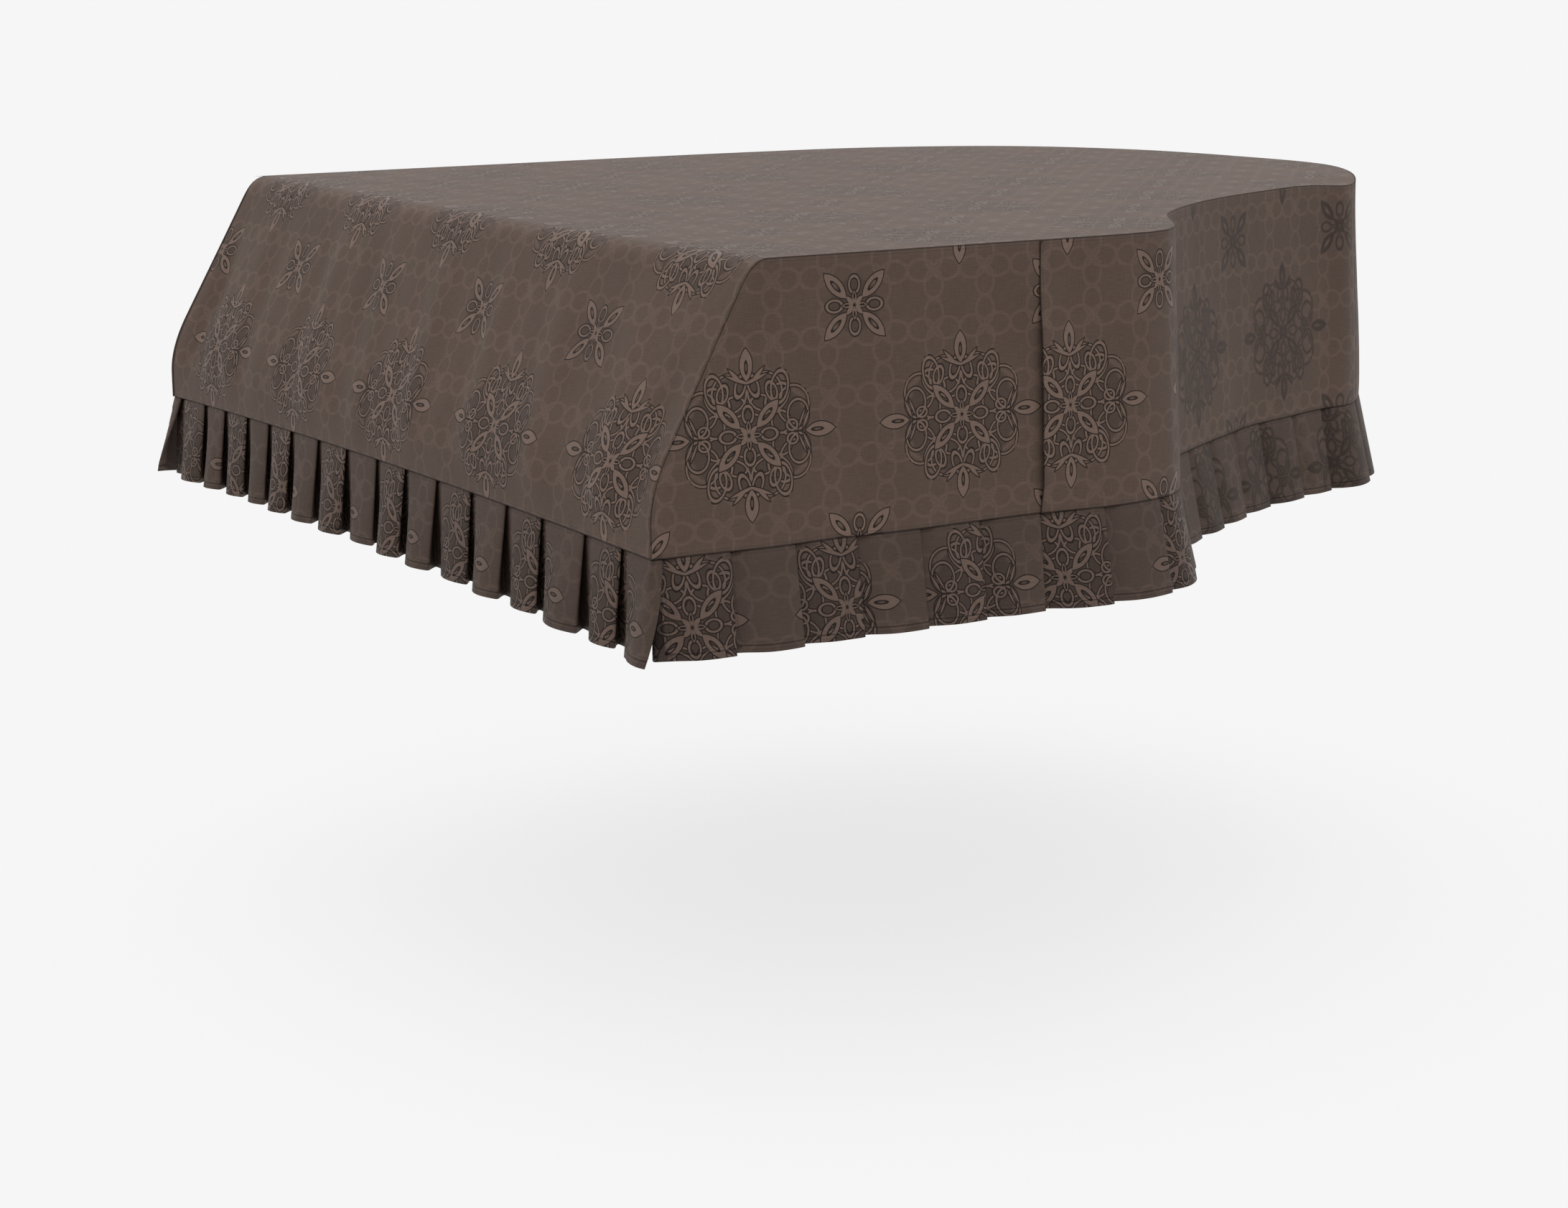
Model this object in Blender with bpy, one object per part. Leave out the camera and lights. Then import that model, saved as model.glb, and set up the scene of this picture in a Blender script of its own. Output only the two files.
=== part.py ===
"""A fitted cloth cover with a sloping front, a curved side and a knife-pleated skirt.

Frame: +X to the cover's right, +Y back from its front, +Z up, in metres. The origin lies on
the underside of the top, midway across. Each cut and sewn piece is one closed sheet solid.
"""
import math
import random
from collections import namedtuple

import bmesh
import bpy
from mathutils import Vector

# Driving dimensions
HALF_WIDTH = 0.750
FRONT_Y = -0.800
FRONT_EDGE_Y = -0.656
SLOPE_FOOT_Z = -0.256
SEAM_Z = -0.332
HEM_Z = -0.451
CLOTH = 0.0015
GAP = 0.0003

# The front: how far its edge bows forward, and how far its seam and hem rise in the middle
FRONT_BOW = 0.014
FRONT_BOW_LEAN = 0.8
FRONT_RISE = 0.009
EDGE_ROUND = 0.022
FOOT_ROUND = 0.055
CREASE_SLANT = 0.28
VALLEY_DEPTH = 0.011
VALLEY_FROM_EDGE = 0.055
VALLEY_WIDTH = 0.026
SEAM_LIP = 0.003
LIP_FADE = 0.03

# The sides: how far the cloth hangs out from the rim by the seam
HANG_OUT = 0.013
CORNER_HANG = 0.008
CORNER_FADE = 0.16
TAIL_DROOP = 0.006
TAIL_DROOP_REACH = 0.075
TAIL_SEAM_PAST_CORNER = 0.030
BEND_BEFORE = 0.010
BEND_PAST = 0.090

# The lapped vent in the right side: its length along the rim from the front edge
VENT_AT = 0.395
VENT_LAP = 0.022
VENT_HOLLOW = 0.006

# The skirt
PLEAT_PITCH = 0.0935
PLEAT_SLIP = 0.005
PLEAT_LEAN = 0.004
PLEAT_DEPTH_SPREAD = 0.14
FLARE = 0.006
FRONT_FLARE = -0.007
REAR_FLARE = 0.012
PLEAT_DEPTH = 0.016
FRONT_PLEAT_DEPTH = 0.028
CORNER_PLEAT_OUT = 0.022

# Grid counts, and how far apart along a line its direction is read
ROWS_ALONG = 20
ROWS_TO_VENT = 5
ROWS_TO_BEND = 2
ROWS_ROUND_BEND = 3
COLUMNS_ACROSS = 20
SLOPE_ROWS = 8
WALL_ROWS = 6
RIM_STEPS = 16
ROUNDING = (0.0, 0.33, 0.67, 1.0)
DIRECTION_SPREAD = 0.020

# Soft waves of the hanging cloth, summed: depth in metres and where each wave starts
Wave = namedtuple("Wave", "per_metre depth start")
SIDE_WAVES = (
    Wave(2.1, 0.0020, 0.6),
    Wave(3.7, 0.0026, 2.3),
    Wave(6.4, 0.0010, 0.8),
)
FRONT_CREASES = (
    Wave(3.3, 0.0012, 1.4),
    Wave(5.9, 0.0016, 0.2),
    Wave(11.3, 0.0010, 0.0),
)

Station = namedtuple("Station", "place x y")
RIM = (
    Station("front right corner", 0.750, -0.656),
    Station("right side", 0.756, -0.350),
    Station("bend starts", 0.754, -0.080),
    Station("bend ends", 0.726, -0.028),
    Station("bent side", 0.570, 0.089),
    Station("bent side", 0.452, 0.245),
    Station("bent side", 0.368, 0.425),
    Station("waist", 0.315, 0.580),
    Station("tail corner starts", 0.306, 0.640),
    Station("tail corner ends", 0.252, 0.702),
    Station("tail", 0.040, 0.832),
    Station("tail", -0.190, 0.840),
    Station("tail", -0.420, 0.800),
    Station("tail ends", -0.612, 0.680),
    Station("left side", -0.720, 0.480),
    Station("left side", -0.750, 0.250),
    Station("left side", -0.754, -0.300),
    Station("front left corner", -0.750, -0.656),
)

# One pleat as rows along its folded strip. part is the share of the pitch, and the along and
# out columns add a length beside the seam and the hem. At the hem, out is a share of the depth
# plus a clear distance in metres.
Fold = namedtuple("Fold", "place part along_seam out_seam along_hem share_hem clear_hem")
PLEAT = (
    Fold("under turn", 0.0, -0.026, -0.0066, -0.016, 0.00, 0.0000),
    Fold("under run", 0.0, 0.004, -0.0066, 0.008, 0.05, 0.0004),
    Fold("face start", 0.0, 0.020, -0.0003, 0.028, 0.66, 0.0000),
    Fold("face first", 0.40, 0.000, 0.0000, 0.005, 0.92, 0.0000),
    Fold("face middle", 0.60, 0.000, 0.0000, 0.003, 1.00, 0.0000),
    Fold("face last", 0.80, 0.000, 0.0000, 0.000, 1.00, 0.0000),
    Fold("face edge", 1.0, 0.000, 0.0000, 0.000, 1.00, 0.0000),
    Fold("edge turn", 1.0, 0.000, -0.0033, -0.001, 1.00, -0.0034),
    Fold("return run", 1.0, -0.026, -0.0033, -0.016, 0.00, 0.0038),
)
# Where the visible folds lie: across the front, and back along the straight right side
FRONT_FOLDS_X = (
    -0.725, -0.628, -0.547, -0.460, -0.378, -0.296, -0.200, -0.104,
    -0.004, 0.086, 0.182, 0.282, 0.380, 0.474, 0.584, 0.674,
)
RIGHT_FOLDS_Y = (-0.788, -0.700, -0.614, -0.528, -0.440, -0.352)
SKIRT_LEVELS = (0.0, 0.33, 0.67, 1.0)
SHARPEST_MITRE = 0.45

COLOURS = {
    "panel cloth": (0.150, 0.115, 0.096, 1.0),
    "skirt cloth": (0.132, 0.100, 0.084, 1.0),
}
CLOTH_ROUGHNESS = 0.62


def clear_scene():
    for old in list(bpy.data.objects):
        bpy.data.objects.remove(old, do_unlink=True)


def cloth_material(name):
    material = bpy.data.materials.new(name)
    material.use_nodes = True
    shader = material.node_tree.nodes["Principled BSDF"]
    shader.inputs["Base Color"].default_value = COLOURS[name]
    shader.inputs["Roughness"].default_value = CLOTH_ROUGHNESS
    shader.inputs["Metallic"].default_value = 0.0
    return material


def smooth(value):
    value = min(1.0, max(0.0, value))
    return value * value * (3.0 - 2.0 * value)


def mix(low, high, share):
    return low + (high - low) * share


def summed(waves, length):
    return sum(row.depth * math.sin(math.tau * row.per_metre * length + row.start) for row in waves)


def curve_through(points, steps):
    """A centripetal curve through plan points, with the given steps between each pair."""
    ends = [points[0] * 2.0 - points[1], *points, points[-1] * 2.0 - points[-2]]
    path = []
    for p0, p1, p2, p3 in zip(ends, ends[1:], ends[2:], ends[3:]):
        knots = [0.0]
        for a, b in ((p0, p1), (p1, p2), (p2, p3)):
            knots.append(knots[-1] + math.sqrt((b - a).length))
        for step in range(steps):
            t = mix(knots[1], knots[2], step / steps)
            a1 = p0.lerp(p1, (t - knots[0]) / (knots[1] - knots[0]))
            a2 = p1.lerp(p2, (t - knots[1]) / (knots[2] - knots[1]))
            a3 = p2.lerp(p3, (t - knots[2]) / (knots[3] - knots[2]))
            b1 = a1.lerp(a2, (t - knots[0]) / (knots[2] - knots[0]))
            b2 = a2.lerp(a3, (t - knots[1]) / (knots[3] - knots[1]))
            path.append(b1.lerp(b2, (t - knots[1]) / (knots[2] - knots[1])))
    path.append(points[-1].copy())
    return path


class Rim:
    """The rim of the top, measured from its front right corner round to its front left one."""

    def __init__(self):
        self.path = curve_through([Vector((row.x, row.y)) for row in RIM], RIM_STEPS)
        self.reach = [0.0]
        for a, b in zip(self.path, self.path[1:]):
            self.reach.append(self.reach[-1] + (b - a).length)
        self.length = self.reach[-1]

    def point(self, s):
        """Past either end the rim runs straight on, towards the front."""
        if s <= 0.0:
            return Vector((HALF_WIDTH, FRONT_EDGE_Y + s))
        if s >= self.length:
            return Vector((-HALF_WIDTH, FRONT_EDGE_Y - (s - self.length)))
        low, high = 0, len(self.reach) - 1
        while high - low > 1:
            middle = (low + high) // 2
            if self.reach[middle] <= s:
                low = middle
            else:
                high = middle
        share = (s - self.reach[low]) / (self.reach[high] - self.reach[low])
        return self.path[low].lerp(self.path[high], share)

    def outward(self, s):
        along = self.point(s + DIRECTION_SPREAD) - self.point(s - DIRECTION_SPREAD)
        along.normalize()
        return Vector((along.y, -along.x))

    def at(self, place):
        """The length along the rim of the first station with this name."""
        row = next(row for row in RIM if row.place == place)
        spot = Vector((row.x, row.y))
        nearest = min(range(len(self.path)), key=lambda i: (self.path[i] - spot).length)
        return self.reach[nearest]


def spread_between(low, high, count):
    return [mix(low, high, i / count) for i in range(count + 1)]


def front_bow(x):
    """How far the front edge bows forward at x."""
    inner = 1.0 - (x / HALF_WIDTH) ** 2
    return FRONT_BOW * inner * (1.0 + FRONT_BOW_LEAN * x / HALF_WIDTH)


def front_rise(x):
    return FRONT_RISE * (1.0 - (x / HALF_WIDTH) ** 2)


def front_profile():
    """Rows down the front from the rounded top edge to the seam, as (y, z) pairs."""
    edge = Vector((FRONT_EDGE_Y, 0.0))
    foot = Vector((FRONT_Y, SLOPE_FOOT_Z))
    seam = Vector((FRONT_Y, SEAM_Z))
    down = (foot - edge).normalized()
    rows = []
    top_end = edge + Vector((EDGE_ROUND, 0.0))
    slope_start = edge + down * EDGE_ROUND
    slope_end = foot - down * FOOT_ROUND
    drop_start = foot.lerp(seam, 0.5)
    for share in ROUNDING:
        rows.append(top_end.lerp(edge, share).lerp(edge.lerp(slope_start, share), share))
    for step in range(1, SLOPE_ROWS):
        rows.append(slope_start.lerp(slope_end, step / SLOPE_ROWS))
    for share in ROUNDING:
        rows.append(slope_end.lerp(foot, share).lerp(foot.lerp(drop_start, share), share))
    rows.append(seam)
    return rows


def tail_droop(x, y, rim):
    corner = rim.point(rim.at("tail corner starts"))
    away = (Vector((x, y)) - corner).length
    return TAIL_DROOP * math.exp(-((away / TAIL_DROOP_REACH) ** 2))


def front_edge_reach(z):
    """How far forward of the front edge the front lies at height z."""
    share = min(1.0, max(0.0, z / SLOPE_FOOT_Z))
    return (FRONT_EDGE_Y - FRONT_Y) * share


def corner_hang(z):
    """How far the front corners stand out from the rim at height z."""
    return CORNER_HANG * smooth(z / SEAM_Z)


def hang(s, z, rim):
    """How far the side cloth stands out from the rim at height z."""
    near_right = (s + front_edge_reach(z)) / CORNER_FADE
    near_left = (rim.length - s + front_edge_reach(z)) / CORNER_FADE
    fade = smooth(near_right) * smooth(near_left)
    past_corner = HANG_OUT - CORNER_HANG + summed(SIDE_WAVES, s)
    return corner_hang(z) + smooth(z / SEAM_Z) * fade * past_corner


def side_point(s, z, rim, out=0.0):
    plan = rim.point(s) + rim.outward(s) * (GAP + hang(s, z, rim) + out)
    return Vector((plan.x, plan.y, z))


def front_dip(x, depth):
    """Soft slanting creases of the front, and the valley inside each corner seam."""
    ends = smooth((HALF_WIDTH - abs(x)) / VALLEY_FROM_EDGE)
    crease = summed(FRONT_CREASES, x + CREASE_SLANT * depth)
    from_valley = abs(x) - HALF_WIDTH + VALLEY_FROM_EDGE
    valley = VALLEY_DEPTH * math.exp(-((from_valley / VALLEY_WIDTH) ** 2))
    down = depth / SEAM_Z
    above_seam = 1.0 - smooth((down - 0.75) / 0.25)
    creased = crease * ends * smooth(down / 0.36)
    return (creased - valley * smooth((down - 0.24) / 0.36)) * above_seam


def add_object(name, mesh, material):
    mesh.materials.append(material)
    made = bpy.data.objects.new(name, mesh)
    bpy.context.scene.collection.objects.link(made)
    return made


def sheet_from_grid(name, grid, material, along_normal):
    """A grid of points made a sheet of cloth; the first face's normal is along_normal."""
    bm = bmesh.new()
    rows = [[bm.verts.new(point) for point in row] for row in grid]
    for upper, lower in zip(rows, rows[1:]):
        for a, b, c, d in zip(upper, upper[1:], lower[1:], lower):
            bm.faces.new((a, b, c, d))
    bm.normal_update()
    bm.faces.ensure_lookup_table()
    if bm.faces[0].normal.dot(along_normal) < 0.0:
        bmesh.ops.reverse_faces(bm, faces=bm.faces[:])
    mesh = bpy.data.meshes.new(name)
    bm.to_mesh(mesh)
    bm.free()
    made = add_object(name, mesh, material)
    thicken = made.modifiers.new("cloth thickness", "SOLIDIFY")
    thicken.thickness = CLOTH
    thicken.offset = 1.0
    thicken.use_even_offset = True
    return made


def top_grid(rim, right, left):
    """Rows from the tail to the front edge, blended from the four edges of the top."""
    across = spread_between(-1.0, 1.0, COLUMNS_ACROSS)
    tail_from, tail_to = right[-1], left[-1]
    front = [Vector((x * HALF_WIDTH, FRONT_EDGE_Y + EDGE_ROUND - front_bow(x * HALF_WIDTH)))
             for x in across]
    tail = [rim.point(mix(tail_to, tail_from, i / COLUMNS_ACROSS)) for i in range(len(across))]
    grid = []
    for row in range(len(right)):
        v = row / (len(right) - 1)
        right_point = front[-1] if row == 0 else rim.point(right[row])
        left_point = front[0] if row == 0 else rim.point(left[row])
        points = []
        for column in range(len(across)):
            u = column / COLUMNS_ACROSS
            plan = left_point.lerp(right_point, u) + front[column].lerp(tail[column], v)
            corners = front[0].lerp(front[-1], u).lerp(tail[0].lerp(tail[-1], u), v)
            plan -= corners
            height = -tail_droop(plan.x, plan.y, rim)
            points.append(Vector((plan.x, plan.y, height)))
        grid.append(points)
    grid.reverse()
    return grid


def front_grid():
    """Rows down the front from just past the top's last row to the seam."""
    profile = front_profile()
    grid = []
    for step, (y, z) in enumerate(profile[1:], start=1):
        row = []
        for u in spread_between(-1.0, 1.0, COLUMNS_ACROSS):
            x = u * HALF_WIDTH
            bow = front_bow(x) * (1.0 - smooth(z / SLOPE_FOOT_Z))
            rise = front_rise(x) * smooth((z - SLOPE_FOOT_Z) / (SEAM_Z - SLOPE_FOOT_Z))
            forward = bow + front_dip(x, z)
            row.append(Vector((x + u * corner_hang(z), y - forward, z + rise)))
        grid.append(row)
    return grid


def add_top_and_front(rim, right, left, material):
    grid = top_grid(rim, right, left) + front_grid()
    return sheet_from_grid("top_and_front_panel", grid, material, Vector((0.0, 0.0, 1.0)))


def wall_heights(s, rim, rows):
    spot = rim.point(s)
    top = CLOTH - tail_droop(spot.x, spot.y, rim)
    return spread_between(top, SEAM_Z, rows)


def add_plain_wall(name, stations, rim, material, lap=None):
    """A side panel between two places on the rim. lap adds to its distance from the rim."""
    columns = []
    for s in stations:
        column = []
        for z in wall_heights(s, rim, WALL_ROWS):
            extra = lap(s, z) if lap else 0.0
            column.append(side_point(s, z, rim, extra))
        columns.append(column)
    grid = [list(row) for row in zip(*columns)]
    plan = rim.outward(stations[0])
    return sheet_from_grid(name, grid, material, Vector((plan.x, plan.y, 0.0)))


def add_profiled_wall(name, stations, rim, material):
    """A side panel whose first station is at the front, where it follows the front profile."""
    profile = front_profile()
    profile[0] = Vector((FRONT_EDGE_Y, 0.0))
    first, last = stations[0], stations[-1]
    forward = 1.0 if last > first else -1.0
    grid = []
    for step, (y, z) in enumerate(profile):
        share_down = step / (len(profile) - 1)
        past_edge = smooth(-z / LIP_FADE)
        front_s = first - forward * (FRONT_EDGE_Y - y + SEAM_LIP * past_edge)
        stretch = (front_s - last) / (first - last)
        row = []
        for s in stations:
            place = last + (s - last) * stretch
            spot = rim.point(s)
            far_z = mix(CLOTH - tail_droop(spot.x, spot.y, rim), SEAM_Z, share_down)
            near_z = z + CLOTH * (1.0 - past_edge)
            height = mix(near_z, far_z, (s - first) / (last - first))
            row.append(side_point(place, height, rim))
        grid.append(row)
    return sheet_from_grid(name, grid, material, Vector((forward, 0.0, 0.0)))


def vent_lap(s, z):
    """The rear panel's front edge stands over the panel before it, hollow at mid height."""
    near = 1.0 - smooth((s - VENT_AT - VENT_LAP) / (VENT_LAP * 2.0))
    down = z / SEAM_Z
    low = smooth((down - 0.12) / 0.30) * smooth((1.0 - down) / 0.12)
    return near * (CLOTH + GAP + VENT_HOLLOW * low)


def pleat_path(marks, corners, depth, noise):
    """The folded strip: (along_seam, out_seam, along_hem, out_hem) for each fold line."""
    path = []
    for begin, end in zip(marks, marks[1:]):
        pitch = end - begin
        deep = depth * (1.0 + noise.uniform(-PLEAT_DEPTH_SPREAD, PLEAT_DEPTH_SPREAD))
        lean = noise.uniform(-PLEAT_LEAN, PLEAT_LEAN)
        passed = [corner for corner in corners if begin < corner < end]
        # A face that passes a corner swings out there, with its fold's hem on the corner
        hem_end = passed[0] if passed else end + lean
        swing = CORNER_PLEAT_OUT if passed else 0.0
        for fold in PLEAT:
            along = begin + pitch * fold.part + fold.along_seam
            hem_along = mix(begin, hem_end, fold.part) + fold.along_hem
            hem_out = (deep + swing * fold.part ** 3) * fold.share_hem + fold.clear_hem
            path.append((along, fold.out_seam, hem_along, hem_out))
    return path


def with_corner_rows(path, corners):
    """A row is added where the strip passes a corner of the seam."""
    full = path[:1]
    for row, after in zip(path, path[1:]):
        for corner in corners:
            if min(row[0], after[0]) < corner < max(row[0], after[0]):
                share = (corner - row[0]) / (after[0] - row[0])
                full.append(tuple(mix(a, b, share) for a, b in zip(row, after)))
        full.append(after)
    return full


def add_split_quad(bm, a, b, c, d, through_a):
    """Two triangles, so that the cloth's two faces bend along the same diagonal."""
    if through_a:
        bm.faces.new((a, b, c))
        bm.faces.new((a, c, d))
    else:
        bm.faces.new((a, b, d))
        bm.faces.new((b, c, d))


def ribbon_solid(name, rings, material):
    """A strip of cloth lofted through levels, each a list of points down one fold line."""
    bm = bmesh.new()
    sides = []
    for level in rings:
        count = len(level)
        near, far = [], []
        for i, point in enumerate(level):
            before = level[i - 1] if i else level[i]
            after = level[i + 1] if i + 1 < count else level[i]
            into = (point - before).to_2d()
            outof = (after - point).to_2d()
            into = into.normalized() if into.length > 1e-9 else outof.normalized()
            outof = outof.normalized() if outof.length > 1e-9 else into
            bisector = (into + outof).normalized()
            normal = Vector((bisector.y, -bisector.x))
            reach = CLOTH / 2.0 / max(SHARPEST_MITRE, bisector.dot(into))
            offset = Vector((normal.x, normal.y, 0.0)) * reach
            near.append(bm.verts.new(point - offset))
            far.append(bm.verts.new(point + offset))
        sides.append((near, far))
    for (near_a, far_a), (near_b, far_b) in zip(sides, sides[1:]):
        for i in range(len(near_a) - 1):
            falling = (near_a[i].co - near_b[i + 1].co).length
            rising = (near_b[i].co - near_a[i + 1].co).length
            through_a = falling < rising
            add_split_quad(bm, near_a[i], near_b[i], near_b[i + 1], near_a[i + 1], through_a)
            add_split_quad(bm, far_a[i], far_b[i], far_b[i + 1], far_a[i + 1], through_a)
        bm.faces.new((far_a[0], far_b[0], near_b[0], near_a[0]))
        bm.faces.new((near_a[-1], near_b[-1], far_b[-1], far_a[-1]))
    for near, far, top in ((*sides[0], True), (*sides[-1], False)):
        for i in range(len(near) - 1):
            corners = (near[i], near[i + 1], far[i + 1], far[i])
            bm.faces.new(corners if top else corners[::-1])
    bmesh.ops.recalc_face_normals(bm, faces=bm.faces[:])
    mesh = bpy.data.meshes.new(name)
    bm.to_mesh(mesh)
    bm.free()
    return add_object(name, mesh, material)


class SeamLine:
    """The seam round the whole cover, measured from its front left corner to the right."""

    def __init__(self, rim):
        self.rim = rim
        self.front = 2.0 * HALF_WIDTH
        self.arm = FRONT_EDGE_Y - FRONT_Y
        self.length = self.front + rim.length + 2.0 * self.arm

    def from_rim(self, s):
        return self.front + self.arm + s

    def point(self, q):
        q %= self.length
        if q <= self.front:
            stretch = 1.0 + CORNER_HANG / HALF_WIDTH
            return Vector(((q - HALF_WIDTH) * stretch, FRONT_Y))
        return side_point(q - self.front - self.arm, SEAM_Z, self.rim).to_2d()

    def outward(self, q):
        along = self.point(q + DIRECTION_SPREAD) - self.point(q - DIRECTION_SPREAD)
        along.normalize()
        return Vector((along.y, -along.x))

    def flare(self, q):
        """How far the hem's inner folds stand out from the seam."""
        q %= self.length
        turn = 3.0 * DIRECTION_SPREAD
        past_right = smooth((q - self.front) / turn + 0.5)
        past_left = 1.0 - smooth(q / turn)
        s = q - self.front - self.arm
        rear = smooth((s - VENT_AT) / VENT_AT) * smooth((self.rim.length - s) / VENT_AT)
        return mix(FRONT_FLARE, mix(FLARE, REAR_FLARE, rear), min(1.0, past_right + past_left))

    def rise(self, q):
        place = q % self.length
        return front_rise(place - HALF_WIDTH) if place <= self.front else 0.0


def add_skirt(name, marks, seam, depth, material, noise):
    """A pleated strip hanging from the seam, from marks[0] to marks[-1] along it."""
    corners = (0.0, seam.front, seam.length)
    folds = with_corner_rows(pleat_path(marks, corners, depth, noise), corners)
    rings = []
    for level in SKIRT_LEVELS:
        ring = []
        for along_seam, out_seam, along_hem, out_hem in folds:
            q = mix(along_seam, along_hem, level)
            out = mix(out_seam, out_hem + seam.flare(q), level) + CLOTH / 2.0
            plan = seam.point(q) + seam.outward(q) * out
            ring.append(Vector((plan.x, plan.y, mix(SEAM_Z - GAP, HEM_Z, level) + seam.rise(q))))
        rings.append(ring)
    return ribbon_solid(name, rings, material)


def pleat_marks(start, end, noise):
    """Fold places from start to end at about the pleat pitch, as uneven as hand work."""
    count = round((end - start) / PLEAT_PITCH)
    marks = spread_between(start, end, count)
    for k in range(1, count):
        marks[k] += noise.uniform(-PLEAT_SLIP, PLEAT_SLIP)
    return marks


def add_panels(rim, right, tail, left, material):
    at_vent = right.index(VENT_AT)
    to_vent = right[:at_vent + 1]
    add_top_and_front(rim, right, left, material)
    add_profiled_wall("right_front_panel", to_vent + [VENT_AT + VENT_LAP], rim, material)
    add_plain_wall("right_bent_side_panel", right[at_vent:], rim, material, vent_lap)
    add_plain_wall("tail_panel", tail, rim, material)
    add_profiled_wall("left_side_panel", left, rim, material)


def add_skirts(rim, tail_right, tail_left, material):
    noise = random.Random(11)
    seam = SeamLine(rim)
    wrap = FRONT_FOLDS_X[0] + HALF_WIDTH
    vent = seam.from_rim(VENT_AT)
    tail_start = seam.from_rim(tail_right)
    tail_end = seam.from_rim(tail_left)
    right_folds = [seam.front + y - FRONT_Y for y in RIGHT_FOLDS_Y]
    strips = {
        "skirt_front": [x + HALF_WIDTH for x in FRONT_FOLDS_X] + right_folds[:1],
        "skirt_right_front": [*right_folds, vent],
        "skirt_bent_side": pleat_marks(vent, tail_start, noise),
        "skirt_tail": pleat_marks(tail_start, tail_end, noise),
        "skirt_left_side": pleat_marks(tail_end, seam.length + wrap, noise),
    }
    for name, marks in strips.items():
        depth = FRONT_PLEAT_DEPTH if name == "skirt_front" else PLEAT_DEPTH
        add_skirt(name, marks, seam, depth, material, noise)


def build():
    clear_scene()
    rim = Rim()
    bend = rim.at("bend starts")
    tail_right = rim.at("tail corner starts") + TAIL_SEAM_PAST_CORNER
    tail_left = rim.at("tail ends")
    bend_from = bend - BEND_BEFORE
    bend_to = bend + BEND_PAST
    rows_left = ROWS_ALONG - ROWS_TO_VENT - 1 - ROWS_TO_BEND - ROWS_ROUND_BEND
    right = [
        *spread_between(0.0, VENT_AT, ROWS_TO_VENT),
        *spread_between(VENT_AT + VENT_LAP, bend_from, ROWS_TO_BEND),
        *spread_between(bend_from, bend_to, ROWS_ROUND_BEND)[1:],
        *spread_between(bend_to, tail_right, rows_left)[1:],
    ]
    tail = spread_between(tail_right + GAP, tail_left - GAP, COLUMNS_ACROSS)
    left = spread_between(rim.length, tail_left, ROWS_ALONG)
    add_panels(rim, right, tail, left, cloth_material("panel cloth"))
    add_skirts(rim, tail_right, tail_left, cloth_material("skirt cloth"))


build()
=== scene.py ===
import math
import random

import bmesh
import bpy
from mathutils import Matrix, Vector, noise


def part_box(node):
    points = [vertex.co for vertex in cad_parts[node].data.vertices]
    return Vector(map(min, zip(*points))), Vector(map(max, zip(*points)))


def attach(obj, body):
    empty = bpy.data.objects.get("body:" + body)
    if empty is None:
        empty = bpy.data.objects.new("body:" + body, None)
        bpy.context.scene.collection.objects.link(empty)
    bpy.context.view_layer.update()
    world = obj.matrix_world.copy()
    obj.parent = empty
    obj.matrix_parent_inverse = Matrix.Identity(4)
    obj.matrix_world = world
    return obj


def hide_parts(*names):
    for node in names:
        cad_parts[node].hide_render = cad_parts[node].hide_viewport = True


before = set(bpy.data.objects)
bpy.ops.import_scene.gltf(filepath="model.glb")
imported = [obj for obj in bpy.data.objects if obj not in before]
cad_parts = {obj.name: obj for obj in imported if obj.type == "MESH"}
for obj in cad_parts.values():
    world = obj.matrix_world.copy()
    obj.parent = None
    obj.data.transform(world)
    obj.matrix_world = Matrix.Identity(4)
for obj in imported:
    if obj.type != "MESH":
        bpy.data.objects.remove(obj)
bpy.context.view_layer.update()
print("frame loaded:", len(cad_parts), "nodes")


# Shared measures, and the plan of the top's rim.
topLow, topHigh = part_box("top_and_front_panel")
skirtLow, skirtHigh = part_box("skirt_right_front")

cover = {
    "halfWidth": 0.750,
    "frontY": -0.800,
    "frontEdgeY": -0.656,  # where the top turns down into the slope
    "slopeFootZ": -0.256,
    "seamZ": skirtHigh.z,
    "hemZ": skirtLow.z,
    "gap": 0.0003,
    "cloth": 0.0013,
    "floorZ": -1.030,
    "tailSeamPastCorner": 0.030,
}

rimStations = [
    ("front right corner", 0.750, -0.656),
    ("right side", 0.756, -0.350),
    ("bend starts", 0.754, -0.080),
    ("bend ends", 0.726, -0.028),
    ("bent side", 0.570, 0.089),
    ("bent side", 0.452, 0.245),
    ("bent side", 0.368, 0.425),
    ("waist", 0.315, 0.580),
    ("tail corner starts", 0.306, 0.640),
    ("tail corner ends", 0.252, 0.702),
    ("tail", 0.040, 0.832),
    ("tail", -0.190, 0.840),
    ("tail", -0.420, 0.800),
    ("tail ends", -0.612, 0.680),
    ("left side", -0.720, 0.480),
    ("left side", -0.750, 0.250),
    ("left side", -0.754, -0.300),
    ("front left corner", -0.750, -0.656),
]


def clamp(value, low=0.0, high=1.0):
    return min(high, max(low, value))


def smooth(value):
    value = clamp(value)
    return value * value * (3.0 - 2.0 * value)


def mix(low, high, share):
    return low + (high - low) * share


def bump(value, centre, width):  # a soft hill of height 1
    return math.exp(-(((value - centre) / width) ** 2))


def summed(waves, length):
    total = 0.0
    for perMetre, depth, start in waves:
        total += depth * math.sin(math.tau * perMetre * length + start)
    return total


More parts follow.
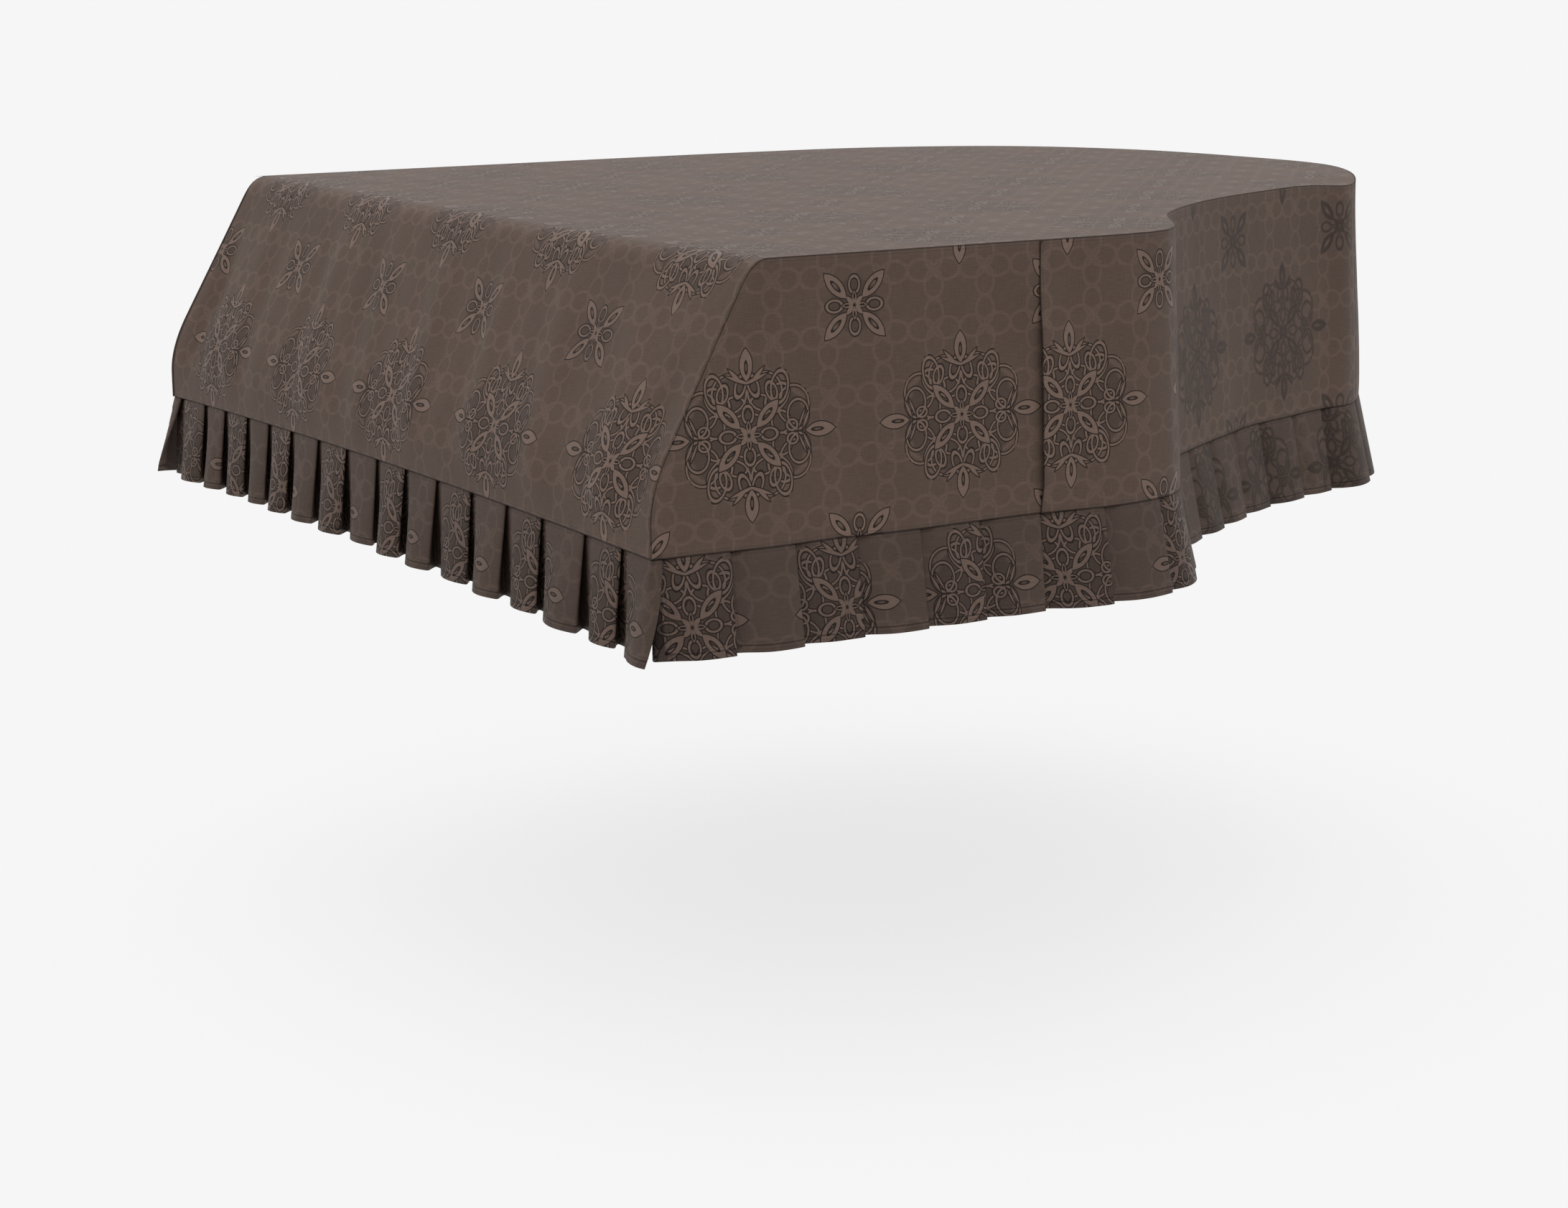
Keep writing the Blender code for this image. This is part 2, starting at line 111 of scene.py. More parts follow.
def curveThrough(points, steps):  # a centripetal curve through plan points
    ends = [points[0] * 2.0 - points[1], *points, points[-1] * 2.0 - points[-2]]
    path = []
    for p0, p1, p2, p3 in zip(ends, ends[1:], ends[2:], ends[3:]):
        k1 = math.sqrt((p1 - p0).length)
        k2 = k1 + math.sqrt((p2 - p1).length)
        k3 = k2 + math.sqrt((p3 - p2).length)
        for step in range(steps):
            t = mix(k1, k2, step / steps)
            a1 = p0.lerp(p1, t / k1)
            a2 = p1.lerp(p2, (t - k1) / (k2 - k1))
            a3 = p2.lerp(p3, (t - k2) / (k3 - k2))
            b1 = a1.lerp(a2, t / k2)
            b2 = a2.lerp(a3, (t - k1) / (k3 - k1))
            path.append(b1.lerp(b2, (t - k1) / (k2 - k1)))
    path.append(points[-1].copy())
    return path


def evenTable(path, step, overrun):  # the path at even steps, run straight on at both ends
    reach = [0.0]
    for a, b in zip(path, path[1:]):
        reach.append(reach[-1] + (b - a).length)
    table = []
    span = 0
    count = int(round((reach[-1] + 2.0 * overrun) / step))
    for i in range(count + 1):
        s = i * step - overrun
        if s <= 0.0:
            table.append(path[0] + Vector((0.0, s)))
        elif s >= reach[-1]:
            table.append(path[-1] - Vector((0.0, s - reach[-1])))
        else:
            while reach[span + 1] < s:
                span += 1
            share = (s - reach[span]) / (reach[span + 1] - reach[span])
            table.append(path[span].lerp(path[span + 1], share))
    return table, reach[-1]


rimStep = 0.002
rimOverrun = 0.4  # straight past both ends of the rim
rimPath = curveThrough([Vector((x, y)) for _, x, y in rimStations], 16)
rimTable, rimLength = evenTable(rimPath, rimStep, rimOverrun)


def rimPoint(s):
    place = (s + rimOverrun) / rimStep
    index = int(clamp(place, 0, len(rimTable) - 2))
    return rimTable[index].lerp(rimTable[index + 1], place - index)


def rimOutward(s, spread=0.020):
    along = (rimPoint(s + spread) - rimPoint(s - spread)).normalized()
    return Vector((along.y, -along.x))


def rimAt(name):
    row = next(row for row in rimStations if row[0] == name)
    spot = Vector(row[1:])
    nearest = min(range(len(rimTable)), key=lambda i: (rimTable[i] - spot).length)
    return nearest * rimStep - rimOverrun


# How the cloth hangs.
hanging = {
    "out": 0.013,  # how far the sides stand out from the rim at the seam
    "cornerOut": 0.008,
    "cornerFade": 0.16,
    "waves": [(2.1, 0.0020, 0.6), (3.7, 0.0026, 2.3), (6.4, 0.0010, 0.8)],
    "droop": 0.006,  # the soft tail corner
    "droopReach": 0.075,
    "ripple": 0.0022,  # small uneven drape
    "crumple": 0.0010,
    "pucker": 0.0016,  # gathers just above the seam
}
tailCorner = rimPoint(rimAt("tail corner starts"))


def tailDroop(x, y):
    away = (Vector((x, y)) - tailCorner).length
    return hanging["droop"] * math.exp(-((away / hanging["droopReach"]) ** 2))


def frontReach(z):  # how far the front stands before its top edge
    share = clamp(z / cover["slopeFootZ"])
    return (cover["frontEdgeY"] - cover["frontY"]) * share


def cornerHang(z):
    return hanging["cornerOut"] * smooth(z / cover["seamZ"])


def hang(s, z):
    nearRight = (s + frontReach(z)) / hanging["cornerFade"]
    nearLeft = (rimLength - s + frontReach(z)) / hanging["cornerFade"]
    fade = smooth(nearRight) * smooth(nearLeft)
    down = smooth(z / cover["seamZ"])
    pastCorner = hanging["out"] - hanging["cornerOut"] + summed(hanging["waves"], s)
    ripple = noise.noise(Vector((s * 9.0, z * 2.2, 4.0))) * hanging["ripple"]
    ripple += noise.noise(Vector((s * 22.0, z * 7.0, 1.0))) * hanging["crumple"]
    middle = math.sin(math.pi * clamp(z / cover["seamZ"]))
    low = bump(z / cover["seamZ"], 0.93, 0.045) * smooth((1.0 - z / cover["seamZ"]) / 0.05)
    pucker = noise.noise(Vector((s * 34.0, z * 6.0, 9.0))) * hanging["pucker"] * low
    return cornerHang(z) + down * fade * pastCorner + (ripple * middle + pucker) * fade


def sidePoint(s, z, out=0.0):
    plan = rimPoint(s) + rimOutward(s) * (cover["gap"] + hang(s, z) + out)
    return Vector((plan.x, plan.y, z))


# Cloth sheets are grids whose corners are moved into place. For the shares across and down,
# place gives a point, metres the cloth's own measures and sewn the way to the nearest seam. A
# row of repeats says from which measure across it holds, where a medallion is centred, the
# weave's scale, and how far the pattern's light and dark are swapped, a painted sheen of the
# satin seen at a slant. Down to the share onTop the cloth lies flat, and there they are
# swapped by weave's topPaintedSheen.
def clothGrid(name, across, down, place, metres, sewn, repeats, onTop=0.0):
    bm = bmesh.new()
    bmesh.ops.create_grid(bm, x_segments=across, y_segments=down, size=0.5)
    layer = bm.loops.layers.uv.new("weave")
    seam = bm.verts.layers.float.new("seam")
    paintedSheenShare = bm.verts.layers.float.new("paintedSheen")
    spots = {}
    for vert in bm.verts:
        a, d = vert.co.x + 0.5, 0.5 - vert.co.y
        spots[vert] = metres(a, d)
        vert.co = place(a, d)
        vert[seam] = sewn(a, d)
        row = [row for row in repeats if row[0] <= spots[vert][0]][-1]
        # painted sheen: the share by which the pattern's light and dark are swapped
        vert[paintedSheenShare] = weave["topPaintedSheen"] if d < onTop else row[4]
    for face in bm.faces:
        face.smooth = True
        middle = sum(spots[vert][0] for vert in face.verts) / 4.0
        _, centreX, centreY, scale, _ = [row for row in repeats if row[0] <= middle][-1]
        middleUv = Vector((0.0, 0.0))
        for loop in face.loops:
            x, y = spots[loop.vert]
            loop[layer].uv = ((x - centreX) * scale, (y - centreY) * scale)
            middleUv += loop[layer].uv / 4.0
        face.material_index = motifAt(*middleUv)
    mesh = bpy.data.meshes.new(name)
    bm.to_mesh(mesh)
    bm.free()
    piece = bpy.data.objects.new(name, mesh)
    bpy.context.scene.collection.objects.link(piece)
    return piece


def giveThickness(piece, thickness, offset=1.0):
    thicken = piece.modifiers.new("cloth thickness", "SOLIDIFY")
    thicken.thickness = thickness
    thicken.offset = offset
    thicken.use_even_offset = False
    thicken.material_offset = len(motifs)  # the back of the cloth is plainer


def dress(piece, cloth, node):
    for motif in (*motifs, "back"):
        piece.data.materials.append(cloth[motif])
    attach(piece, "root")
    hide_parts(node)


# The woven pattern, in metres of cloth. A ring is centre, radii and turn in degrees, and a
# leaf centre, turn, half length and half width. Each is one quarter, repeated in all four.
weave = {
    "across": 0.300,  # from one medallion to the next
    "down": 0.285,
    "trellis": 4,  # small cells in a repeat, each way
    "loopWide": 0.0130,
    "loopLine": 0.0038,
    "ringLine": 0.0026,
    "outline": 0.0011,
    "weftHigh": 0.00022,
    "warpHigh": 0.00018,
    # painted sheen: how far the flat top's pattern has its light and dark swapped
    "topPaintedSheen": 0.5,
    "medallionReach": (0.095, 0.088),
    "tipUp": (0.030, 0.109),  # the leaf over a medallion: half width and how far it reaches
    "tipSide": (0.126, 0.026),  # the one beside it: how far it reaches and half width
    "flowerReach": 0.050,
}
medallion = {
    "backRings": [
        (0.0240, 0.0500, 0.0230, 0.0225, 0),
        (0.0620, 0.0320, 0.0215, 0.0225, 0),
        (0.0170, 0.0345, 0.0140, 0.0120, 0),
        (0.0440, 0.0130, 0.0125, 0.0130, 20),
        (0.0400, 0.0420, 0.0190, 0.0125, 45),
    ],
    "foreRings": [
        (0.0440, 0.0540, 0.0115, 0.0190, -12),
        (0.0680, 0.0200, 0.0145, 0.0175, 0),
        (0.0330, 0.0500, 0.0068, 0.0110, 20),
        (0.0590, 0.0080, 0.0072, 0.0062, 0),
        (0.0085, 0.0580, 0.0064, 0.0130, 20),
    ],
    "leaves": [
        (0.0000, 0.0825, 90, 0.0195, 0.0085),
        (0.0985, 0.0000, 0, 0.0205, 0.0085),
        (0.0150, 0.0700, 45, 0.0130, 0.0024),
        (0.0110, 0.0650, 20, 0.0190, 0.0022),
        (0.0790, 0.0130, 65, 0.0120, 0.0018),
        (0.0730, 0.0150, 65, 0.0120, 0.0014),
    ],
    "leafCuts": [(0.0000, 0.0795, 0.0026, 0.0085, 0), (0.0945, 0.0000, 0.0090, 0.0026, 0)],
    "body": (0.0810, 0.0730),
}
star = {
    "leaves": [
        (0.0262, 0.0238, 45, 0.0215, 0.0085),
        (0.0095, 0.0000, 0, 0.0080, 0.0030),
        (0.0000, 0.0095, 90, 0.0080, 0.0030),
        (0.0062, 0.0058, 45, 0.0070, 0.0030),
    ],
    "leafCuts": [
        (0.0258, 0.0234, 0.0098, 0.0032, 45),
        (0.0108, 0.0000, 0.0036, 0.0012, 0),
        (0.0000, 0.0108, 0.0012, 0.0036, 0),
    ],
    "rings": [(0.0000, 0.0245, 0.0070, 0.0100, 0), (0.0275, 0.0000, 0.0105, 0.0070, 0)],
    "body": (0.0350, 0.0330),
}
motifs = ["ground", "medallion", "flower"]

# Noise in the cloth: its detail, and how often it changes in a metre across and down.
grain = {
    "patches": (1.0, (9.0, 6.0)),
    "weft": (0.0, (70.0, 900.0)),
    "warp": (0.0, (1100.0, 50.0)),
}
# Near a seam: from how far off each begins, and where it is full.
seams = {
    # painted shade where the cloth turns in at a seam, and deep inside the pleats' folds
    "fold": (0.0022, 0.0004),
    "worn": (0.0160, 0.0030),
    "stitchAt": 0.0045,
    "stitchWide": (0.0010, 0.0003),  # from the middle of its row
    "stitchLong": 0.0034,
    "stitchEnds": (-0.6, 0.2),  # of a sine along the row
}
# What each of these adds to the tone, and the tone without it.
tones = {
    "patches": (0.20, 0.90),
    "weft": (0.24, 0.88),
    "warp": (0.18, 0.91),
    # painted shade: darker where the cloth turns in at a seam and deep inside the pleats
    "fold": (-0.60, 1.0),
    "worn": (0.07, 1.0),
    "stitch": (-0.28, 1.0),
}


def motifAt(x, y):  # the number of the motif that a spot of the weave falls in
    x = abs((x / weave["across"] + 0.5) % 1.0 - 0.5) * weave["across"]
    y = abs((y / weave["down"] + 0.5) % 1.0 - 0.5) * weave["down"]
    wide, tall = weave["medallionReach"]
    inRound = (x / wide) ** 2 + (y / tall) ** 2 < 1.0
    inTip = any(x < right and y < up for right, up in (weave["tipUp"], weave["tipSide"]))
    if inRound or inTip:
        return motifs.index("medallion")
    toFlower = max(weave["across"] / 2.0 - x, weave["down"] / 2.0 - y)
    return motifs.index("flower" if toFlower < weave["flowerReach"] else "ground")


def feed(tree, node, index, value):  # a socket is linked, and a plain value is set
    if isinstance(value, bpy.types.NodeSocket):
        tree.links.new(value, node.inputs[index])
    else:
        node.inputs[index].default_value = value


def maths(tree, operation, *values):
    node = tree.nodes.new("ShaderNodeMath")
    node.operation = operation
    for index, value in enumerate(values):
        feed(tree, node, index, value)
    return node.outputs[0]


def vectors(tree, operation, *values):
    node = tree.nodes.new("ShaderNodeVectorMath")
    node.operation = operation
    for index, value in enumerate(values):
        feed(tree, node, index, value)
    return node.outputs["Value" if operation in ("LENGTH", "DOT_PRODUCT") else "Vector"]


def rising(tree, value, low, high):  # 0 at low, 1 at high, soft between
    node = tree.nodes.new("ShaderNodeMapRange")
    node.interpolation_type = "SMOOTHSTEP"
    for name, amount in (("Value", value), ("From Min", low), ("From Max", high)):
        feed(tree, node, name, amount)
    return node.outputs["Result"]


def inTurn(x, y, degrees):  # a place seen from turned axes
    angle = math.radians(degrees)
    return x * math.cos(angle) + y * math.sin(angle), y * math.cos(angle) - x * math.sin(angle)


def turnedViews(tree, point, turns):  # the same point in turned axes, each made once
    views = {0: point}
    for degrees in turns:
        joined = tree.nodes.new("ShaderNodeCombineXYZ")
        for index in (0, 1):
            angle = math.radians(degrees + 90 * index)
            axis = (math.cos(angle), math.sin(angle), 0.0)
            feed(tree, joined, index, vectors(tree, "DOT_PRODUCT", point, axis))
        views[degrees] = joined.outputs[0]
    return views


def oval(tree, views, row, sign=1.0):  # distance from an oval, negative inside
    x, y, wide, tall, degrees = row
    x, y = inTurn(x, y, degrees)
    scaled = vectors(tree, "MULTIPLY_ADD", views[degrees], (1.0 / wide, 1.0 / tall, 0.0),
                     (-x / wide, -y / tall, 0.0))
    small = min(wide, tall) * sign
    return maths(tree, "MULTIPLY_ADD", vectors(tree, "LENGTH", scaled), small, -small)


def leaf(tree, views, row):  # where two circles overlap
    x, y, degrees, halfLength, halfWidth = row
    radius = (halfLength ** 2 + halfWidth ** 2) / (2.0 * halfWidth)
    moved = vectors(tree, "SUBTRACT", views[degrees], (*inTurn(x, y, degrees), 0.0))
    lifted = vectors(tree, "ADD", vectors(tree, "ABSOLUTE", moved),
                     (0.0, radius - halfWidth, 0.0))
    return maths(tree, "SUBTRACT", vectors(tree, "LENGTH", lifted), radius)


def nearest(tree, fields, operation="MINIMUM"):
    field = fields[0]
    for other in fields[1:]:
        field = maths(tree, operation, field, other)
    return field


def rings(tree, views, rows):
    lines = [maths(tree, "ABSOLUTE", oval(tree, views, row)) for row in rows]
    return maths(tree, "SUBTRACT", nearest(tree, lines), weave["ringLine"] / 2.0)


def leavesCut(tree, views, rows, cuts):
    leaves = nearest(tree, [leaf(tree, views, row) for row in rows])
    holes = [oval(tree, views, row, -1.0) for row in cuts]
    return nearest(tree, [leaves, *holes], "MAXIMUM")


def laidOver(tree, upper, lower):  # the lower one stops an outline's width short of the upper
    kept = maths(tree, "MAXIMUM", lower, maths(tree, "SUBTRACT", weave["outline"], upper))
    return maths(tree, "MINIMUM", upper, kept)


def folded(tree, point, wide, tall, half):  # one quarter of each repeat
    moved = vectors(tree, "MULTIPLY_ADD", point, (1.0 / wide, 1.0 / tall, 0.0),
                    (0.5 - half, 0.5 - half, 0.0))
    share = vectors(tree, "SUBTRACT", vectors(tree, "FRACTION", moved), (0.5, 0.5, 0.0))
    return vectors(tree, "ABSOLUTE", vectors(tree, "MULTIPLY", share, (wide, tall, 0.0)))


def starFigure(tree, views):
    petals = leavesCut(tree, views, star["leaves"], star["leafCuts"])
    return laidOver(tree, petals, rings(tree, views, star["rings"]))


def medallionFigure(tree, views):
    figure = laidOver(tree, rings(tree, views, medallion["foreRings"]),
                      rings(tree, views, medallion["backRings"]))
    leaves = leavesCut(tree, views, medallion["leaves"], medallion["leafCuts"])
    figure = laidOver(tree, leaves, figure)
    return laidOver(tree, starFigure(tree, views), figure)


def trellisLine(tree, point):
    count = weave["trellis"]
    wide, tall = weave["across"] / count, weave["down"] / count
    views = {0: folded(tree, point, wide, tall, 0.5)}
    loops = [(wide / 4.0, 0.0, wide / 4.0, weave["loopWide"], 0),
             (0.0, tall / 4.0, weave["loopWide"], tall / 4.0, 0)]
    lines = [maths(tree, "ABSOLUTE", oval(tree, views, row)) for row in loops]
    half = weave["loopLine"] / 2.0
    return rising(tree, nearest(tree, lines), half * 1.5, half * 0.5)


def mixedColour(tree, share, a, b):
    node = tree.nodes.new("ShaderNodeMix")
    node.data_type = "RGBA"
    for index, value in ((0, share), (6, a), (7, b)):
        feed(tree, node, index, value)
    return node.outputs[2]


def cloudy(tree, point, detail, stretch):
    node = tree.nodes.new("ShaderNodeTexNoise")
    node.noise_dimensions = "2D"
    node.inputs["Scale"].default_value = 1.0
    node.inputs["Detail"].default_value = detail
    tree.links.new(vectors(tree, "MULTIPLY", point, (*stretch, 1.0)), node.inputs["Vector"])
    return node.outputs[0]


def attribute(tree, name):
    node = tree.nodes.new("ShaderNodeAttribute")
    node.attribute_name = name
    return node.outputs["Fac"]


def seamFields(tree, cloth):
    seam = attribute(tree, "seam")
    fromStitch = maths(tree, "ABSOLUTE", maths(tree, "SUBTRACT", seam, seams["stitchAt"]))
    turns = math.tau / seams["stitchLong"]
    along = maths(tree, "SINE", vectors(tree, "DOT_PRODUCT", cloth, (turns, turns, 0.0)))
    stitch = maths(tree, "MULTIPLY", rising(tree, fromStitch, *seams["stitchWide"]),
                   rising(tree, along, *seams["stitchEnds"]))
    return {
        "fold": rising(tree, seam, *seams["fold"]),
        "worn": rising(tree, seam, *seams["worn"]),
        "stitch": stitch,
    }


def jacquard(name, look, motif):
    material = bpy.data.materials.new(name)
    material.use_nodes = True
    tree = material.node_tree
    shader = tree.nodes["Principled BSDF"]
    uv = tree.nodes.new("ShaderNodeUVMap")
    uv.uv_map = "weave"
    cloth = uv.outputs["UV"]

    def shade(strength):
        return (*(clamp(channel * strength) for channel in look["ground"]), 1.0)

    trellis = maths(tree, "MULTIPLY", trellisLine(tree, cloth), look["trellisShare"])
    colour = mixedColour(tree, trellis, shade(1.0), shade(look["trellis"]))
    gloss = maths(tree, "MULTIPLY_ADD", trellis, -0.06, look["roughness"])
    if motif != "ground":
        turns = (-12, 20, 45, 65, 90) if motif == "medallion" else (45, 90)
        half = 0.5 if motif == "flower" else 0.0
        quarter = folded(tree, cloth, weave["across"], weave["down"], half)
        views = turnedViews(tree, quarter, turns)
        body = (medallion if motif == "medallion" else star)["body"]
        inBody = rising(tree, oval(tree, views, (0.0, 0.0, *body, 0)), 0.002, -0.004)
        figure = (medallionFigure if motif == "medallion" else starFigure)(tree, views)
        inside = rising(tree, figure, 0.0003, -0.0003)
        fromOutline = maths(tree, "SUBTRACT", figure, weave["outline"] * 0.5)
        outline = rising(tree, maths(tree, "ABSOLUTE", fromOutline),
                         weave["outline"] * 0.85, weave["outline"] * 0.35)
        # Painted sheen: where the satin is seen at a slant, the pattern's light and dark are
        # swapped in its colour.
        sheenShare = attribute(tree, "paintedSheen")
        bodyShade = mixedColour(tree, sheenShare, shade(look["body"]), shade(look["paintedSheenBody"]))
        colour = mixedColour(tree, inBody, colour, bodyShade)
        lightShade = mixedColour(tree, sheenShare, shade(look["figure"]), shade(look["paintedSheenFigure"]))
        colour = mixedColour(tree, inside, colour, lightShade)
        lineShade = mixedColour(tree, sheenShare, shade(look["line"]), shade(look["paintedSheenLine"]))
        colour = mixedColour(tree, outline, colour, lineShade)
        gloss = maths(tree, "MULTIPLY_ADD", inside, -0.10, gloss)

    fields = {kind: cloudy(tree, cloth, *row) for kind, row in grain.items()}
    fields.update(seamFields(tree, cloth))
    tone = 1.0
    for kind, (gain, base) in tones.items():
        share = maths(tree, "MULTIPLY_ADD", fields[kind], gain, base)
        tone = maths(tree, "MULTIPLY", tone, share)
    toned = vectors(tree, "SCALE", colour)
    feed(tree, toned.node, "Scale", tone)
    tree.links.new(toned, shader.inputs["Base Color"])
    tree.links.new(gloss, shader.inputs["Roughness"])
    shader.inputs["Specular IOR Level"].default_value = look["specular"]
    shader.distribution = "GGX"

    relief = maths(tree, "MULTIPLY", fields["weft"], weave["weftHigh"])
    relief = maths(tree, "MULTIPLY_ADD", fields["warp"], weave["warpHigh"], relief)
    ridges = tree.nodes.new("ShaderNodeBump")
    ridges.inputs["Strength"].default_value = 0.6
    ridges.inputs["Distance"].default_value = 1.0
    tree.links.new(relief, ridges.inputs["Height"])
    tree.links.new(ridges.outputs["Normal"], shader.inputs["Normal"])
    return material


def clothBack(name, look):
    material = bpy.data.materials.new(name)
    material.use_nodes = True
    tree = material.node_tree
    shader = tree.nodes["Principled BSDF"]
    uv = tree.nodes.new("ShaderNodeUVMap")
    uv.uv_map = "weave"
    weft = cloudy(tree, uv.outputs["UV"], 0.0, (70.0, 700.0))
    dark, light = (tuple(channel * k for channel in look["ground"]) for k in (0.72, 0.98))
    colour = mixedColour(tree, weft, (*dark, 1.0), (*light, 1.0))
    tree.links.new(colour, shader.inputs["Base Color"])
    shader.inputs["Roughness"].default_value = 0.8
    shader.inputs["Specular IOR Level"].default_value = look["specular"]
    shader.distribution = "GGX"
    return material


panelLook = {
    "ground": (0.086, 0.0585, 0.0465),
    "trellis": 1.28,
    "trellisShare": 0.75,
    "body": 0.76,
    "figure": 1.72,
    "line": 0.22,
    "paintedSheenBody": 1.04,  # where light and dark have changed places, a painted sheen of the satin seen at a slant
    "paintedSheenFigure": 0.50,
    "paintedSheenLine": 0.80,
    "roughness": 0.62,
    "specular": 0.10,
}
# The skirt is the panels' cloth made darker: painted shade over the pleated skirt.
shadedSkirtLook = {**panelLook, "ground": (0.068, 0.0465, 0.0372)}
panelCloth = {motif: jacquard("jacquard " + motif, panelLook, motif) for motif in motifs}
skirtCloth = {motif: jacquard("pleated jacquard " + motif, shadedSkirtLook, motif)
              for motif in motifs}
panelCloth["back"] = skirtCloth["back"] = clothBack("back of the cloth", panelLook)
print("cloths woven")

# The top, the sloping front and its drop: one length of cloth.
front = {
    "bow": 0.014,
    "bowLean": 0.8,
    "rise": 0.009,
    "edgeRound": 0.022,
    "footRound": 0.055,
    "valley": 0.011,
    "valleyFromEdge": 0.055,
    "valleyWidth": 0.026,
    "creases": [(3.3, 0.0020, 1.4), (5.9, 0.0026, 0.2), (11.3, 0.0015, 0.0)],
    "creaseSlant": 0.28,
    "crumple": 0.0012,
    "columns": 200,
    "topRows": 120,
    "frontRows": 84,
    "repeats": [(-9.0, -0.587, -0.265, 0.980, 0.0)],
}


def frontBow(x):
    share = x / cover["halfWidth"]
    return front["bow"] * (1.0 - share ** 2) * (1.0 + front["bowLean"] * share)


def frontRise(x):
    return front["rise"] * (1.0 - (x / cover["halfWidth"]) ** 2)


def frontProfile(steps):  # (y, z) down the front, from the rounded edge to the seam
    edge = Vector((cover["frontEdgeY"], 0.0))
    foot = Vector((cover["frontY"], cover["slopeFootZ"]))
    seam = Vector((cover["frontY"], cover["seamZ"]))
    down = (foot - edge).normalized()
    topEnd = edge + Vector((front["edgeRound"], 0.0))
    slopeStart = edge + down * front["edgeRound"]
    slopeEnd = foot - down * front["footRound"]
    dropStart = foot.lerp(seam, 0.5)
    rows = []
    for i in range(13):
        share = i / 12
        rows.append(topEnd.lerp(edge, share).lerp(edge.lerp(slopeStart, share), share))
    for i in range(1, 12):
        rows.append(slopeStart.lerp(slopeEnd, i / 12))
    for i in range(13):
        share = i / 12
        rows.append(slopeEnd.lerp(foot, share).lerp(foot.lerp(dropStart, share), share))
    rows.append(seam)
    reach = [0.0]
    for a, b in zip(rows, rows[1:]):
        reach.append(reach[-1] + (b - a).length)
    even = []
    span = 0
    for i in range(steps + 1):
        s = reach[-1] * i / steps
        while span < len(rows) - 2 and reach[span + 1] < s:
            span += 1
        share = (s - reach[span]) / (reach[span + 1] - reach[span])
        even.append(rows[span].lerp(rows[span + 1], clamp(share)))
    return even, reach[-1]


def frontDip(x, z):  # slanting creases, and the valley inside each corner seam
    fromEdge = cover["halfWidth"] - abs(x)
    ends = smooth(fromEdge / front["valleyFromEdge"])
    crease = summed(front["creases"], x + front["creaseSlant"] * z)
    crease += noise.noise(Vector((x * 14.0, z * 6.0, 2.0))) * front["crumple"]
    valley = front["valley"] * bump(fromEdge, front["valleyFromEdge"], front["valleyWidth"])
    down = z / cover["seamZ"]
    aboveSeam = 1.0 - smooth((down - 0.75) / 0.25)
    creased = crease * ends * smooth(down / 0.36)
    return (creased - valley * smooth((down - 0.24) / 0.36)) * aboveSeam


tailRightS = rimAt("tail corner starts") + cover["tailSeamPastCorner"]
tailLeftS = rimAt("tail ends")
profileRows, profileLength = frontProfile(front["frontRows"])
topShare = front["topRows"] / (front["topRows"] + front["frontRows"])


def topPoint(a, v):  # v runs from the front edge to the tail
    u = a * 2.0 - 1.0
    x = u * cover["halfWidth"]
    foldY = cover["frontEdgeY"] + front["edgeRound"]
    frontPlan = Vector((x, foldY - frontBow(x)))
    tailPlan = rimPoint(mix(tailLeftS, tailRightS, a))
    rightPlan = rimPoint(mix(front["edgeRound"], tailRightS, v))
    leftPlan = rimPoint(mix(rimLength - front["edgeRound"], tailLeftS, v))
    corners = [Vector((-cover["halfWidth"], foldY)), Vector((cover["halfWidth"], foldY))]
    tails = [rimPoint(tailLeftS), rimPoint(tailRightS)]
    plan = leftPlan.lerp(rightPlan, a) + frontPlan.lerp(tailPlan, v)
    plan -= corners[0].lerp(corners[1], a).lerp(tails[0].lerp(tails[1], a), v)
    return plan


def topAndFrontPoint(a, d):
    if d < topShare - 1e-6:
        v = 1.0 - d / topShare
        plan = topPoint(a, v)
        return Vector((plan.x, plan.y, -tailDroop(plan.x, plan.y)))
    row = (d - topShare) / (1.0 - topShare)
    profile = profileRows[int(round(row * front["frontRows"]))]
    u = a * 2.0 - 1.0
    x = u * cover["halfWidth"]
    bow = frontBow(x) * (1.0 - smooth(profile.y / cover["slopeFootZ"]))
    footToSeam = cover["seamZ"] - cover["slopeFootZ"]
    rise = frontRise(x) * smooth((profile.y - cover["slopeFootZ"]) / footToSeam)
    forward = bow + frontDip(x, profile.y)
    return Vector((x + u * cornerHang(profile.y), profile.x - forward, profile.y + rise))


def topAndFrontMetres(a, d):
    foldY = cover["frontEdgeY"]
    if d < topShare - 1e-6:
        plan = topPoint(a, 1.0 - d / topShare)
        return plan.x, plan.y - foldY
    row = (d - topShare) / (1.0 - topShare)
    x = (a * 2.0 - 1.0) * cover["halfWidth"]
    return x, front["edgeRound"] - profileLength * row


def topAndFrontSewn(a, d):
    if d >= topShare - 1e-6:
        low = profileLength * (1.0 - d) / (1.0 - topShare)
        return min(min(a, 1.0 - a) * 2.0 * cover["halfWidth"], low)
    v = 1.0 - d / topShare
    wide = (topPoint(1.0, v) - topPoint(0.0, v)).length
    return min(min(a, 1.0 - a) * wide, (topPoint(a, 1.0) - topPoint(a, v)).length)


topAndFront = clothGrid(
    "top_and_front_cloth", front["columns"], front["topRows"] + front["frontRows"],
    topAndFrontPoint, topAndFrontMetres, topAndFrontSewn, front["repeats"], topShare)
giveThickness(topAndFront, cover["cloth"])
dress(topAndFront, panelCloth, "top_and_front_panel")
print("top and front made")


